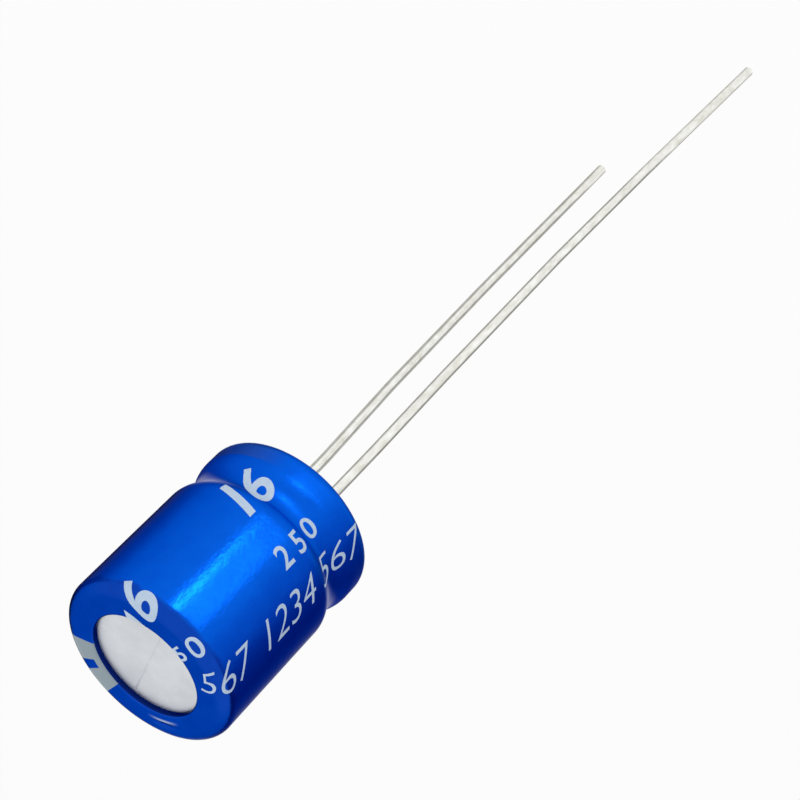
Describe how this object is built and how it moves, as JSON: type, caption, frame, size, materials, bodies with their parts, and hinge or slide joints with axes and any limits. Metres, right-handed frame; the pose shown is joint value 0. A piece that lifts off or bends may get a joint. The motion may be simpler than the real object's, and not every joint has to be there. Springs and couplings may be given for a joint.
{
  "type": "radial electrolytic capacitor",
  "caption": "Radial electrolytic capacitor: round can in a blue sleeve with a scored vent end, a beaded rubber seal and long and short wire leads.",
  "frame": {"origin": "on the seating plane that the folded sleeve edge makes against a circuit board, midway between the two leads", "axes": "+Z from the leads towards the vent end, +X from the negative (short) lead towards the positive (long) lead"},
  "size_m": [0.0102, 0.0102, 0.0608],
  "materials": {
    "sleeve": "glossy blue heat-shrink film with a pale printed stripe and figures",
    "can": "satin drawn aluminium",
    "bung": "matt black moulded rubber",
    "lead": "bright tin plate on copper-clad steel wire",
    "tab": "pressed aluminium",
    "anode_foil": "matt etched and oxidised foil",
    "cathode_foil": "matt etched foil",
    "separator": "kraft tissue soaked with electrolyte",
    "tape": "translucent fixing tape"
  },
  "bodies": {
    "root": {"sleeve": "sleeve", "can": "can", "bung": "bung", "positive_lead": "lead", "negative_lead": "lead", "positive_tab": "tab", "negative_tab": "tab", "anode_foil": "anode_foil", "cathode_foil": "cathode_foil", "inner_separator": "separator", "outer_separator": "separator", "fixing_tape": "tape"}
  },
  "joints": []
}
